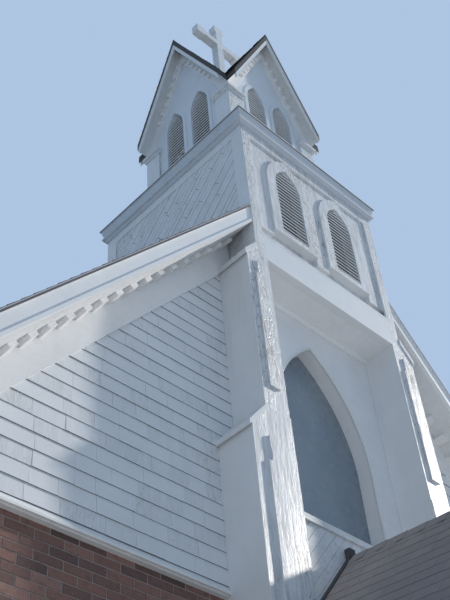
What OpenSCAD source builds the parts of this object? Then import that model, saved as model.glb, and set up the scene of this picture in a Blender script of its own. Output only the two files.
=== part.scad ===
// Small timber and brick chapel with a front tower, a recessed arch window,
// a porch and a cross-gabled belfry. Millimetres, Z up, standing on the ground.
// The origin is the middle of the footprint, with the front towards -Y.

/* [Nave] */
// width of the nave over the brick walls
nave_w = 7700; // [6400:10:9000]
// length of the nave over the brick walls
nave_l = 10500; // [7500:10:14000]
// height of the brick walls
brick_h = 4850; // [3800:10:5400]
// thickness of the brick walls
brick_t = 350; // [230:5:500]
// how far the shingled gable stands out over the brick
shingle_out = 40; // [20:1:60]
// thickness of the shingled gable walls
gable_t = 200; // [120:5:300]
// height of the floor over the ground
floor_h = 150; // [100:5:300]

/* [Roof] */
// height of the nave's ridge
ridge_z = 10060; // [9700:10:10100]
// pitch of the nave roof and the porch roof
roof_pitch = 50; // [41:0.5:56]
// thickness of the roof across the slope
roof_t = 160; // [110:5:220]
// thickness of the shingle layer at the roof's edge
edge_t = 22; // [15:1:50]
// reach of the roof past the side walls
eave_out = 330; // [150:5:500]
// thickness of the fascia boards
fascia_t = 25; // [15:1:40]
// reach of the shingles past the fascia boards
drip = 15; // [13:1:25]
// width of the frieze boards under the rakes
frieze_w = 235; // [180:5:350]
// size of a dentil block along the rake
dentil_w = 85; // [50:1:110]
// spacing of the dentil blocks along the rake
dentil_pitch = 221; // [160:1:300]

/* [Tower] */
// width of the tower
tower_w = 2040; // [1800:1:2450]
// depth of the tower
tower_d = 2160; // [1900:10:2600]
// height of the walls under the tower's cornice
tower_h = 10130; // [9700:10:10800]
// thickness of the tower walls
tower_t = 100; // [60:5:140]
// how far the tower's face stands in front of the gable
tower_out = 360; // [250:5:480]
// depth of the front panel behind the corner boards
panel_in = 22; // [18:1:50]
// width of the corner boards on the front
corner_w = 118; // [90:1:180]
// width of the corner boards on the sides
side_w = 147; // [100:1:200]
// thickness of the corner boards and the frieze on the sides
side_t = 20; // [10:1:30]
// height of the frieze board under the cornice
frieze_h = 110; // [80:5:200]
// underside of the belt board, the soffit of the recess
belt_z = 8160; // [7950:10:8300]
// height of the belt board
belt_h = 375; // [300:5:450]
// depth of the groove over the belt board
groove_in = 80; // [50:5:95]
// height of the groove over the belt board
groove_h = 115; // [80:5:150]
// reach of the cornice past the tower walls
cornice_out = 64; // [50:1:140]
// height of the cornice
cornice_h = 191; // [150:1:280]

/* [Piers] */
// how far the sides of the recess stand in from the tower's sides
jamb_in = 134; // [122:1:220]
// how far the upper piers stand out past the tower's sides
upper_out = 137; // [60:1:200]
// how far the lower piers stand out past the tower's sides
lower_out = 316; // [240:1:420]
// height of the upper pier at its outer edge
upper_z = 8070; // [7900:10:8120]
// height of the lower pier at its outer edge
lower_z = 6090; // [5700:10:6500]
// thickness of the upper pier's sloped cap
upper_cap_t = 42; // [25:1:80]
// thickness of the lower pier's sloped cap
lower_cap_t = 32; // [25:1:80]
// reach of the pier caps past the pier
cap_out = 28; // [20:1:80]
// thickness of the lower pier's face board
face_t = 8; // [5:1:30]
// width of the upper strip
strip_w = 116; // [90:1:150]
// thickness of the upper strip
strip_t = 18; // [12:1:40]
// width of the lower strip
shaft_w = 172; // [130:1:190]
// width of the lower strip's head
head_w = 114; // [90:1:125]
// thickness of the lower strip
head_t = 20; // [12:1:40]
// height of the lower strip's rounded head
head_top = 6060; // [5850:1:6160]

/* [Arch window] */
// width of the pointed arch
arch_w = 1210; // [900:10:1400]
// top of the arch window's sill
sill_z = 5840; // [5700:10:6200]
// height where the arch starts
spring_z = 6660; // [6400:10:6900]
// height of the arch's point
apex_z = 7840; // [7600:10:7950]
// depth of the reveal in front of the glass
reveal = 150; // [80:5:170]

/* [Tower lancets] */
// distance of each lancet from the tower's middle
lancet_x = 393; // [380:1:420]
// clear width of a lancet
lancet_w = 360; // [300:2:390]
// width of the lancet's frame
frame_w = 125; // [80:1:140]
// foot of the lancets
lancet_z = 8800; // [8750:5:8900]
// height of a lancet to its point
lancet_h = 1060; // [900:10:1100]
// height of a lancet's arch
lancet_rise = 300; // [200:5:360]
// height of the frame under a lancet
sill_h = 65; // [30:1:90]
// spacing of the louvre slats
slat_pitch = 51; // [40:1:70]

/* [Belfry] */
// width of the belfry walls
belfry_w = 1400; // [1250:10:1680]
// thickness of the belfry walls
belfry_t = 80; // [50:5:120]
// pitch of the four belfry gables
belfry_pitch = 65; // [58:0.5:68]
// clear height between the corner caps and the belfry roof
belfry_lift = 68; // [20:1:150]
// reach of the gable roofs past the walls
belfry_out = 171; // [100:1:220]
// reach of the roof's lower edges past the walls
belfry_eave = 30; // [20:1:60]
// thickness of the belfry roof across the slope
belfry_roof_t = 45; // [30:1:60]
// height of the corner caps
corner_cap_z = 11500; // [11350:10:11600]
// foot of the belfry lancets
bell_z = 10760; // [10650:10:10900]
// height of a belfry lancet to its point
bell_h = 1290; // [1100:10:1340]
// height of a belfry lancet's arch
bell_arch = 330; // [250:5:400]
// clear width of a belfry lancet
bell_w = 290; // [240:2:310]
// size of the corner posts on each face
bell_post = 200; // [120:5:215]
// distance of each belfry lancet from the middle
bell_x = 218; // [205:1:240]

/* [Cross] */
// height of the cross over the belfry's ridges
cross_h = 1250; // [900:10:1500]
// span of the arms
cross_w = 860; // [600:10:1000]
// width of the cross's timber
cross_t = 110; // [80:1:140]

/* [Porch] */
// height of the porch ridge
porch_z = 5600; // [5300:10:5700]
// reach of the porch roof in front of the tower
porch_out = 1500; // [900:10:2000]
// reach of the porch roof past the lower piers
porch_side = 414; // [350:1:600]
// thickness of the porch roof
porch_t = 90; // [60:5:140]
// fall of the porch ridge towards the front, in degrees
porch_lean = 4.5; // [0:0.5:8]
// width of the porch posts
post_w = 140; // [100:5:200]
// width of the doorway between its jambs
door_w = 1500; // [1200:10:1600]
// height of the doorway over the floor
door_h = 2450; // [2100:10:2600]
// height of the frame over the doorway
door_head = 150; // [100:5:200]

/* [Side windows] */
// number of windows in each side wall
side_n = 3; // [2:1:4]
// width of a side window
pane_w = 900; // [600:10:1200]
// height of the side windows' sills
side_z = 1500; // [1200:10:2000]
// height of a side window to its point
side_h = 2400; // [1800:10:2600]

/* [Hidden] */
$fn = 64;

fit = 1;
far = 20000;
slope = tan(roof_pitch);
rise = roof_t / cos(roof_pitch);
edge_rise = edge_t / cos(roof_pitch);
nave_x = nave_w / 2;
eave_x = nave_x + eave_out;
tower_x = tower_w / 2;
tower_y = tower_d / 2;
recess_x = tower_x - jamb_in;
upper_x = tower_x + upper_out;
lower_x = tower_x + lower_out;
brick_y0 = tower_out + shingle_out;
brick_y1 = brick_y0 + nave_l;
gable_y1 = brick_y1 + shingle_out;
roof_y1 = gable_y1 + tower_out;
head_z = floor_h + door_h + door_head;
belt_top = belt_z + belt_h;
groove_z = belt_top + groove_h;
soffit_t = 30;
wall_z = belt_z + soffit_t;
wall_x = tower_x - side_t;
fascia_y1 = drip + fascia_t;
deck_z = tower_h + cornice_h;
deck_h = 90;
belfry_z = deck_z + deck_h;
bell_slope = tan(belfry_pitch);
bell_rise = belfry_roof_t / cos(belfry_pitch);
bell_half = belfry_w / 2;
bell_eave = bell_half + belfry_eave;
bell_rake = bell_half + belfry_out;
cap_step = 45;
caps_top = corner_cap_z + 2 * cap_step;
belfry_top = caps_top + belfry_lift + bell_rise + bell_slope * bell_eave;
porch_rise = porch_t / cos(roof_pitch);
porch_x = lower_x + porch_side;
post_x = porch_x - 260;
post_y = -porch_out + 160;
strip_x = (recess_x + upper_x) / 2 + 4;
head_x = lower_x - 210;
apron_t = 20;
sill_t = 62;
frieze_rise = frieze_w / cos(roof_pitch);
lancet_spring = lancet_z + lancet_h - lancet_rise;
bell_spring = bell_z + bell_h - bell_arch;
middle_y = (roof_y1 - porch_out) / 2;
white = [0.9, 0.9, 0.88];
brick = [0.5, 0.28, 0.22];
dark = [0.28, 0.27, 0.26];
glass_tint = [0.5, 0.58, 0.66];
stone = [0.6, 0.58, 0.55];

// a profile drawn in X and Z, run along Y from y0 to y1
module along_y(y0, y1) {
    translate([0, y1, 0])
        rotate([90, 0, 0])
            linear_extrude(y1 - y0)
                children();
}

// a profile drawn in Y and Z, run along X from x0 to x1
module along_x(x0, x1) {
    translate([x0, 0, 0])
        rotate([90, 0, 90])
            linear_extrude(x1 - x0)
                children();
}

module block(x0, x1, y0, y1, z0, z1) {
    translate([x0, y0, z0])
        cube([x1 - x0, y1 - y0, z1 - z0]);
}

// both the given shape and its mirror image across the middle
module pair() {
    children();
    mirror([1, 0, 0])
        children();
}

// radius of a pointed arch with half width a and rise h
function arch_r(a, h) = (a * a + h * h) / (2 * a);

// half width of a pointed window at height z, offset outwards by o
function arch_half(a, z0, spring, apex, z, o = 0) =
    let (r = arch_r(a, apex - spring))
    z <= spring ? a + o : sqrt(max(0, pow(r + o, 2) - pow(z - spring, 2))) - (r - a);

// outline of a pointed window, offset outwards by o, standing on z0
module pointed(a, z0, spring, apex, o = 0) {
    r = arch_r(a, apex - spring);
    $fn = 180;
    translate([-a - o, z0])
        square([2 * (a + o), spring - z0]);
    intersection() {
        translate([r - a, spring])
            circle(r + o);
        translate([a - r, spring])
            circle(r + o);
        translate([-a - o, spring - 1])
            square([2 * (a + o), apex - spring + 2 * o + 1]);
    }
}

// profile between two roof slopes that lie d0 and d1 below the roof's top
module slope_band(top, tilt, d0, d1, x0, x1) {
    polygon([[x0, top - d0 - tilt * x0], [x1, top - d0 - tilt * x1],
        [x1, top - d1 - tilt * x1], [x0, top - d1 - tilt * x0]]);
}

// everything under a pair of roof slopes, d below their top
module under_slopes(top, tilt, d, half) {
    polygon([[-half, 0], [half, 0], [half, top - d - tilt * half],
        [0, top - d], [-half, top - d - tilt * half]]);
}

// a pair of roof slopes, from d0 to d1 below their top
module chevron(top, tilt, d0, d1, half) {
    polygon([[-half, top - d0 - tilt * half], [0, top - d0], [half, top - d0 - tilt * half],
        [half, top - d1 - tilt * half], [0, top - d1], [-half, top - d1 - tilt * half]]);
}

// a moulding profile taken round a rectangle with mitred corners
module mitred(x, y0, y1) {
    reach = 400;
    mid = (y0 + y1) / 2;
    half = (y1 - y0) / 2;
    for (turn = [0, 180])
        translate([0, mid, 0])
            rotate(turn)
                intersection() {
                    along_x(-x - reach, x + reach)
                        translate([-half, 0])
                            mirror([1, 0])
                                children();
                    linear_extrude(far)
                        polygon([[-x - reach, -half - reach], [x + reach, -half - reach],
                            [x - 300, -half + 300], [-x + 300, -half + 300]]);
                }
    for (side = [0, 1])
        mirror([side, 0, 0])
            intersection() {
                along_y(y0 - reach, y1 + reach)
                    translate([x, 0])
                        children();
                linear_extrude(far)
                    polygon([[x + reach, y0 - reach], [x + reach, y1 + reach],
                        [x - 300, y1 - 300], [x - 300, y0 + 300]]);
            }
}

// place everything so that the footprint's middle is the origin
module placed() {
    translate([0, -middle_y, 0])
        children();
}

// the shape on each of the four faces of the belfry, drawn round its centre
module four_faces() {
    translate([0, tower_y - middle_y, 0])
        for (turn = [0 : 90 : 270])
            rotate(turn)
                children();
}

module floor() {
    color(stone)
        placed() {
            inner_x = nave_x - brick_t - fit;
            block(-inner_x, inner_x, brick_y0 + brick_t + fit, brick_y1 - brick_t - fit,
                0, floor_h);
            block(-recess_x + fit, recess_x - fit, brick_y0, brick_y0 + brick_t + 2 * fit,
                0, floor_h);
        }
}

module stoop() {
    color(stone)
        placed()
            difference() {
                block(-porch_x + 150, porch_x - 150, -porch_out + 120, brick_y0 - fit,
                    0, floor_h);
                pair() {
                    block(recess_x - fit, lower_x + fit, -face_t - fit, far, -1, far);
                    block(head_x - shaft_w / 2 - fit, head_x + shaft_w / 2 + fit,
                        -face_t - head_t - fit, far, -1, far);
                }
            }
}

module brick_front() {
    color(brick)
        placed()
            pair()
                block(recess_x, nave_x, brick_y0, brick_y0 + brick_t, 0, brick_h);
}

function side_y(i) = brick_y0 + nave_l * (i + 0.5) / side_n;
side_a = pane_w / 2;
side_spring = side_z + side_h - side_a * 1.732;

module side_holes(o, x0, x1) {
    for (i = [0 : side_n - 1])
        along_x(x0, x1)
            translate([side_y(i), 0])
                pointed(side_a, side_z, side_spring, side_z + side_h, o);
}

module brick_side(side) {
    color(brick)
        placed()
            mirror([side, 0, 0])
                difference() {
                    block(-nave_x, -nave_x + brick_t, brick_y0 + brick_t + fit,
                        brick_y1 - brick_t - fit, 0, brick_h);
                    side_holes(0, -nave_x - 1, -nave_x + brick_t + 1);
                }
}

module brick_side_left() {
    brick_side(0);
}

module brick_side_right() {
    brick_side(1);
}

module brick_back() {
    color(brick)
        placed()
            block(-nave_x, nave_x, brick_y1 - brick_t, brick_y1, 0, brick_h);
}

// shingled gable over the brick at the front, beside the tower
module gable_front() {
    color(white)
        placed()
            pair()
                along_y(tower_out, tower_out + gable_t)
                    intersection() {
                        under_slopes(ridge_z, slope, rise + fit, nave_x);
                        translate([recess_x + fit, brick_h])
                            square([far, far]);
                    }
}

module gable_back() {
    color(white)
        placed()
            along_y(gable_y1 - gable_t, gable_y1)
                intersection() {
                    under_slopes(ridge_z, slope, rise + fit, nave_x);
                    translate([-nave_x, brick_h])
                        square([2 * nave_x, far]);
                }
}

module water_profile() {
    out = 26;
    polygon([[0, 8], [out, 8], [out, 26], [0, 75]]);
}

// thin drip board where the shingles start over the brick
module water_table() {
    color(white)
        placed() {
            pair()
                along_x(lower_x + fit, nave_x)
                    translate([tower_out, brick_h])
                        mirror([1, 0])
                            water_profile();
            along_x(-nave_x, nave_x)
                translate([gable_y1, brick_h])
                    water_profile();
        }
}

// two slopes of roof with the shingle layer reaching over the fascias
module nave_roof() {
    color(dark)
        placed()
            difference() {
                union() {
                    along_y(0, roof_y1)
                        chevron(ridge_z, slope, 0, edge_rise, eave_x);
                    along_y(fascia_y1, roof_y1 - fascia_y1)
                        chevron(ridge_z, slope, fit, rise, eave_x - fascia_y1);
                }
                block(-tower_x - fit, tower_x + fit, -1, tower_out, 0, far);
            }
}

// boards that close the roof's edges, with a small moulding along the rakes' foot
module fascia_boards() {
    top = edge_rise + fit;
    bead_t = 12;
    bead = rise - 28 / cos(roof_pitch);
    end_x = eave_x - drip;
    color(white)
        placed() {
            pair() {
                along_y(drip, fascia_y1)
                    slope_band(ridge_z, slope, top, rise, tower_x + fit, end_x);
                along_y(drip - bead_t, drip)
                    slope_band(ridge_z, slope, bead, rise, tower_x + fit, end_x);
                along_y(fascia_y1, roof_y1 - fascia_y1)
                    slope_band(ridge_z, slope, top, rise, eave_x - fascia_y1 + fit, end_x);
            }
            along_y(roof_y1 - fascia_y1 + fit, roof_y1 - drip)
                chevron(ridge_z, slope, top, rise, end_x);
            along_y(roof_y1 - drip, roof_y1 - drip + bead_t)
                chevron(ridge_z, slope, bead, rise, end_x);
        }
}

module dentil_row(x0, x1, y0, y1) {
    dentil_h = 38;
    step = dentil_pitch * cos(roof_pitch);
    count = floor((x1 - x0) / step);
    for (i = [0 : count - 1])
        translate([x0 + (i + 0.5) * step, 0, ridge_z - slope * (x0 + (i + 0.5) * step)])
            rotate([0, roof_pitch, 0])
                block(-dentil_w / 2, dentil_w / 2, y0, y1, -roof_t - dentil_h, -roof_t - fit);
}

// boards with dentil blocks along the gables' rakes, cut off over the pier caps
module rake_friezes() {
    board = 22;
    block_t = 145;
    end_x = nave_x + 60;
    foot_z = brick_h + 80;
    cap_x = upper_x + cap_out + fit;
    cap_top = upper_z + upper_cap_t / cos(roof_pitch) + 3 * fit;
    color(white)
        placed() {
            pair()
                difference() {
                    intersection() {
                        union() {
                            along_y(tower_out - board, tower_out)
                                slope_band(ridge_z, slope, rise + fit, rise + frieze_rise,
                                    tower_x + fit, end_x);
                            dentil_row(tower_x + 30, nave_x, tower_out - block_t, tower_out);
                        }
                        block(tower_x + fit, far, -1, far, foot_z, far);
                    }
                    along_y(-1, tower_out + 1)
                        polygon([[0, 0], [cap_x, 0],
                            [cap_x, cap_top - slope * (cap_out + fit)],
                            [0, cap_top + slope * upper_x]]);
                }
            intersection() {
                union() {
                    along_y(gable_y1, gable_y1 + board)
                        chevron(ridge_z, slope, rise + fit, rise + frieze_rise, end_x);
                    pair()
                        dentil_row(150, nave_x, gable_y1, gable_y1 + block_t);
                }
                block(-far, far, 0, far, foot_z, far);
            }
        }
}

// boards that close the gap between the side walls' tops and the roof
module eave_boards() {
    color(white)
        placed()
            pair()
                along_y(brick_y0 + gable_t, gable_y1 - gable_t)
                    intersection() {
                        under_slopes(ridge_z, slope, rise + fit, nave_x + 30);
                        translate([nave_x - 150, brick_h])
                            square([180, far]);
                    }
}

module side_frames() {
    color(white)
        placed()
            pair()
                difference() {
                    side_holes(-fit, -nave_x + 90, -nave_x + 160);
                    side_holes(-70, -nave_x, -nave_x + 200);
                }
}

module side_glass() {
    color(glass_tint)
        placed()
            pair()
                side_holes(-70 - fit, -nave_x + 118, -nave_x + 126);
}

// stepped buttress: wide below, narrower above, with sloped shoulders
module piers() {
    shoulder = slope * (lower_x - upper_x);
    board_top = lower_z + shoulder + 35;
    color(white)
        placed()
            pair() {
                along_y(0, tower_out - fit)
                    polygon([[recess_x, 0], [lower_x, 0], [lower_x, lower_z],
                        [upper_x, lower_z + shoulder], [upper_x, upper_z],
                        [tower_x, upper_z + slope * (upper_x - tower_x)],
                        [tower_x, wall_z], [recess_x, wall_z]]);
                block(recess_x, lower_x, tower_out - 2 * fit, brick_y0 - fit, 0,
                    brick_h - fit);
                along_y(-face_t, 0)
                    polygon([[recess_x, 0], [lower_x, 0], [lower_x, lower_z],
                        [upper_x, lower_z + shoulder], [upper_x, board_top],
                        [recess_x, board_top]]);
            }
}

// a board that slopes down from x0 past x1, its underside just over z1 at x1
module cap_profile(x0, x1, z1, thick) {
    reach = x1 + cap_out;
    inner_z = z1 + fit + slope * (x1 - x0);
    outer_z = z1 + fit - slope * cap_out;
    cap_rise = thick / cos(roof_pitch);
    polygon([[x0, inner_z], [reach, outer_z], [reach, outer_z + cap_rise],
        [x0, inner_z + cap_rise]]);
}

module pier_caps() {
    proud = 5;
    color(white)
        placed()
            pair() {
                along_y(-2 * proud, tower_out - fit)
                    cap_profile(tower_x + fit, upper_x, upper_z, upper_cap_t);
                along_y(-face_t - proud, tower_out - fit)
                    cap_profile(upper_x + fit, lower_x, lower_z, lower_cap_t);
            }
}

// outline of a strip's head, narrower than the strip, with a round top
module strip_head(width, ledge, top) {
    translate([-width / 2, ledge - fit])
        square([width, top - width / 2 - ledge + fit]);
    translate([0, top - width / 2])
        circle(width / 2, $fn = 180);
}

// thin boards on the piers, each with a ledge and a head, the lower head waisted
module pier_strips() {
    upper_foot = lower_z + 484;
    upper_ledge = upper_z - 220;
    upper_head = 66;
    lower_ledge = head_top - 260;
    waist_r = 200;
    waist_x = head_w / 2 - 11 + waist_r;
    color(white)
        placed()
            pair() {
                along_y(-strip_t, 0)
                    translate([strip_x, 0]) {
                        translate([-strip_w / 2, upper_foot])
                            square([strip_w, upper_ledge - upper_foot]);
                        strip_head(upper_head, upper_ledge, upper_z - 35);
                    }
                along_y(-face_t - head_t, -face_t)
                    translate([head_x, 0]) {
                        translate([-shaft_w / 2, 0])
                            square([shaft_w, lower_ledge]);
                        difference() {
                            strip_head(head_w, lower_ledge, head_top);
                            for (s = [-1, 1])
                                translate([s * waist_x, lower_ledge + 70])
                                    circle(waist_r, $fn = 180);
                        }
                    }
            }
}

module recess_wall() {
    color(white)
        placed()
            along_y(tower_out, tower_out + gable_t)
                difference() {
                    translate([-recess_x, head_z])
                        square([2 * recess_x, belt_z - head_z]);
                    pointed(arch_w / 2, sill_z, spring_z, apex_z);
                }
}

// ceiling of the recess with a small cove along its back
module recess_soffit() {
    cove = 45;
    color(white)
        placed() {
            block(-recess_x, recess_x, groove_in, tower_out + gable_t, belt_z, wall_z);
            along_x(-recess_x, recess_x)
                translate([tower_out - fit, belt_z + fit])
                    difference() {
                        translate([-cove, -cove])
                            square(cove);
                        translate([-cove, -cove])
                            circle(cove - 12);
                    }
        }
}

module arch_glass() {
    color(glass_tint)
        placed()
            along_y(tower_out + reveal, tower_out + reveal + 10)
                pointed(arch_w / 2 - fit, sill_z + fit, spring_z, apex_z - 2 * fit);
}

module window_sill() {
    front = tower_out - 45;
    half = arch_w / 2 + 70;
    foot = sill_z - sill_t;
    color(white)
        placed()
            along_x(-half, half)
                polygon([[tower_out, foot], [front, foot], [front, sill_z - 6],
                    [tower_out, sill_z]]);
}

module apron_panel() {
    color(white)
        placed()
            block(-recess_x + fit, recess_x - fit, tower_out - apron_t, tower_out,
                porch_z - 200 - slope * recess_x, sill_z - sill_t - fit);
}

module door_frame() {
    color(white)
        placed()
            along_y(brick_y0 + 20, brick_y0 + 20 + 140)
                difference() {
                    translate([-recess_x + fit, floor_h])
                        square([2 * (recess_x - fit), head_z - fit - floor_h]);
                    translate([-door_w / 2, 0])
                        square([door_w, floor_h + door_h]);
                }
}

// the shape turned about the porch ridge's end at the recess, so that it falls forwards
module leaning() {
    translate([0, tower_out, porch_z])
        rotate([porch_lean, 0, 0])
            translate([0, -tower_out, -porch_z])
                children();
}

// the part of a shape between two upright planes across the porch
module between(y0, y1) {
    intersection() {
        children();
        block(-far, far, y0, y1, 0, far);
    }
}

// one small gable roof, cut round the piers and their strips
module porch_roof() {
    color(dark)
        placed()
            difference() {
                between(-porch_out, brick_y0 - fit)
                    leaning()
                        along_y(-2 * porch_out, 2 * porch_out)
                            chevron(porch_z, slope, 0, porch_rise, porch_x);
                block(-lower_x, lower_x, tower_out - apron_t - fit, far, 0, far);
                pair() {
                    block(recess_x - fit, lower_x + fit, -face_t - fit, far, 0, far);
                    block(head_x - shaft_w / 2 - fit, head_x + shaft_w / 2 + fit,
                        -face_t - head_t - fit, far, 0, far);
                }
            }
}

module porch_rakes() {
    color(white)
        placed()
            between(-porch_out + 20, -porch_out + 45)
                leaning()
                    along_y(-2 * porch_out, 0)
                        chevron(porch_z, slope, porch_rise + fit, porch_rise + 170,
                            porch_x - 30);
}

// a post and a plate on each side of the porch, with a beam between them
module porch_frame() {
    plate_top = porch_z - slope * (post_x + post_w / 2) - porch_rise - fit;
    plate_foot = plate_top - 150;
    x0 = post_x - post_w / 2;
    x1 = post_x + post_w / 2;
    color(white)
        placed()
            pair() {
                intersection() {
                    block(x0, x1, post_y, post_y + post_w, floor_h, far);
                    leaning()
                        block(-far, far, -far, far, -far, plate_foot + fit);
                }
                intersection() {
                    union() {
                        block(x0, x1, post_y, brick_y0 - fit, 0, far);
                        block(-1, post_x, post_y, post_y + post_w, 0, far);
                    }
                    leaning()
                        block(-far, far, -far, far, plate_foot, plate_top);
                }
            }
}

module lancet_pair(z0, o) {
    pair()
        translate([lancet_x, 0])
            pointed(lancet_w / 2, z0, lancet_spring, lancet_z + lancet_h, o);
}

// front panel behind the corner boards, with a groove over the belt board that
// rises under each lancet's frame
module tower_front() {
    frame_x = lancet_w / 2 + frame_w;
    color(white)
        placed()
            difference() {
                union() {
                    block(-wall_x, wall_x, panel_in, panel_in + tower_t, groove_z, tower_h);
                    block(-wall_x, wall_x, groove_in, panel_in + tower_t, wall_z,
                        groove_z + fit);
                }
                along_y(0, panel_in + tower_t + 1)
                    lancet_pair(lancet_z, 0);
                pair()
                    block(lancet_x - frame_x, lancet_x + frame_x, 0, groove_in,
                        groove_z - fit, lancet_z - sill_h);
            }
}

// everything under the nave roof's top behind the gable's face
module under_roof() {
    along_y(tower_out - fit, tower_d + 10)
        under_slopes(ridge_z, slope, -fit, nave_x);
}

// tower walls stand on the slopes of the nave roof behind the gable
module tower_sides() {
    color(white)
        placed()
            pair()
                difference() {
                    block(wall_x - tower_t, wall_x, panel_in + tower_t,
                        tower_d - side_t - tower_t, wall_z, tower_h);
                    under_roof();
                }
}

module tower_back() {
    color(white)
        placed()
            difference() {
                block(-wall_x, wall_x, tower_d - side_t - tower_t, tower_d - side_t, wall_z,
                    tower_h);
                under_roof();
            }
}

// boards with an L section at the tower's corners, the back ones on the roof,
// and plain boards between them under the cornice
module corner_boards() {
    frieze_z = tower_h - frieze_h;
    color(white)
        placed() {
            pair() {
                block(tower_x - corner_w, wall_x, 0, panel_in, wall_z, tower_h);
                block(wall_x, tower_x, 0, side_w, wall_z, tower_h);
                difference() {
                    union() {
                        block(wall_x, tower_x, tower_d - side_w, tower_d, wall_z, tower_h);
                        block(tower_x - side_w, wall_x, tower_d - side_t, tower_d, wall_z,
                            tower_h);
                        block(-fit, tower_x - side_w + fit, tower_d - side_t, tower_d,
                            frieze_z, tower_h);
                    }
                    under_roof();
                }
                block(wall_x, tower_x, side_w - fit, tower_d - side_w + fit, frieze_z, tower_h);
            }
            block(-tower_x + corner_w - fit, tower_x - corner_w + fit, 0, panel_in, frieze_z,
                tower_h);
        }
}

// wide board over the recess, as wide above the piers as the corner boards leave it
module belt_board() {
    inner = tower_x - corner_w - fit;
    color(white)
        placed()
            along_y(0, groove_in - fit) {
                translate([-recess_x, belt_z])
                    square([2 * recess_x, belt_h]);
                translate([-inner, wall_z])
                    square([2 * inner, belt_top - wall_z]);
            }
}

// pointed frames that stand out from the front panel
module lancet_frames() {
    color(white)
        placed()
            along_y(0, panel_in)
                difference() {
                    lancet_pair(lancet_z - sill_h, frame_w);
                    lancet_pair(lancet_z, 0);
                }
}

module slats(a, z0, h, spring, y) {
    count = floor(h / slat_pitch);
    for (i = [0 : count - 1])
        let (z = z0 + (i + 0.5) * h / count,
             w = arch_half(a, z0, spring, z0 + h, z + 52) - 2)
            if (w > 25)
                translate([-w, y, z])
                    rotate([55, 0, 0])
                        cube([2 * w, 56, 10]);
}

module lancet_louvres() {
    color(white)
        placed()
            for (s = [-1, 1])
                translate([s * lancet_x, 0, 0])
                    slats(lancet_w / 2, lancet_z, lancet_h, lancet_spring, panel_in - 12);
}

// bed fillet, cove, narrow fillet and leaning crown, as distance out and height
module cornice_profile() {
    c = cornice_out;
    h = cornice_h;
    back = -tower_t - panel_in;
    cove_in = 14;
    cove_out = c - 20;
    cove_foot = 12;
    cove_top = h * 0.24;
    fillet_top = cove_top + 26;
    cove_r = arch_r(cove_out - cove_in, cove_top - cove_foot);
    difference() {
        polygon([[back, 0], [cove_in - 2, 0], [cove_in - 2, cove_foot], [cove_out, cove_foot],
            [cove_out, cove_top], [c - 14, cove_top + 2], [c - 14, fillet_top],
            [c - 34, fillet_top + 2], [c - 34, fillet_top + 10], [c - 6, h - 14],
            [c, h - 12], [c, h], [back, h]]);
        intersection() {
            translate([cove_in + cove_r, cove_foot])
                circle(cove_r, $fn = 180);
            translate([cove_in, cove_foot - 1])
                square([cove_out - cove_in + 1, cove_top - cove_foot + 1]);
        }
    }
}

module tower_cornice() {
    color(white)
        placed()
            translate([0, 0, tower_h])
                mitred(tower_x, 0, tower_d)
                    cornice_profile();
}

// half of the deck's outline: an upright edge, then a low slope up to the belfry
module deck_profile(half) {
    lip = half + cornice_out + 8;
    flat = bell_half + 60;
    edge_z = deck_z + 14;
    polygon([[-lip, deck_z], [lip, deck_z], [lip, edge_z], [flat, belfry_z],
        [-flat, belfry_z], [-lip, edge_z]]);
}

// low hipped deck that carries the belfry
module tower_deck() {
    color(dark)
        placed()
            translate([0, tower_y, 0])
                intersection() {
                    along_y(-far, far)
                        deck_profile(tower_x);
                    along_x(-far, far)
                        deck_profile(tower_y);
                }
}

// two gable prisms that cross, d below the roof's top, which makes four gables
module cross_gables(d, half, y) {
    for (turn = [0, 90])
        rotate(turn)
            along_y(-y, y)
                under_slopes(belfry_top, bell_slope, d, half);
}

module bell_lancets(o) {
    pair()
        translate([bell_x, 0])
            pointed(bell_w / 2, bell_z, bell_spring, bell_z + bell_h, o);
}

module belfry_walls() {
    color(white)
        placed()
            translate([0, tower_y, 0])
                difference() {
                    intersection() {
                        block(-bell_half, bell_half, -bell_half, bell_half, belfry_z, far);
                        cross_gables(bell_rise + fit, bell_half, bell_half);
                    }
                    block(-bell_half + belfry_t, bell_half - belfry_t, -bell_half + belfry_t,
                        bell_half - belfry_t, 0, far);
                    for (turn = [0, 90])
                        rotate(turn)
                            along_y(-bell_half - 1, bell_half + 1)
                                bell_lancets(0);
                }
}

module belfry_posts() {
    out = 25;
    inner = -bell_half + bell_post;
    color(white)
        four_faces()
            difference() {
                block(-bell_half - out, inner, -bell_half - out, inner, belfry_z,
                    corner_cap_z);
                block(-bell_half, far, -bell_half, far, 0, far);
            }
}

// L-shaped caps on the corner posts
module belfry_caps() {
    inner = -bell_half + bell_post + 25;
    color(white)
        four_faces()
            difference() {
                union() {
                    for (i = [0, 1])
                        let (out = -bell_half - 40 - 22 * i, z = corner_cap_z + cap_step * i)
                            block(out, inner, out, inner, z, z + cap_step);
                }
                block(-bell_half, far, -bell_half, far, 0, far);
            }
}

module belfry_casings() {
    color(white)
        four_faces()
            along_y(-bell_half - 8, -bell_half)
                difference() {
                    bell_lancets(52);
                    bell_lancets(0);
                }
}

module belfry_louvres() {
    color(white)
        four_faces()
            for (s = [-1, 1])
                translate([s * bell_x, 0, 0])
                    slats(bell_w / 2, bell_z, bell_h, bell_spring, -bell_half + 10);
}

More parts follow.
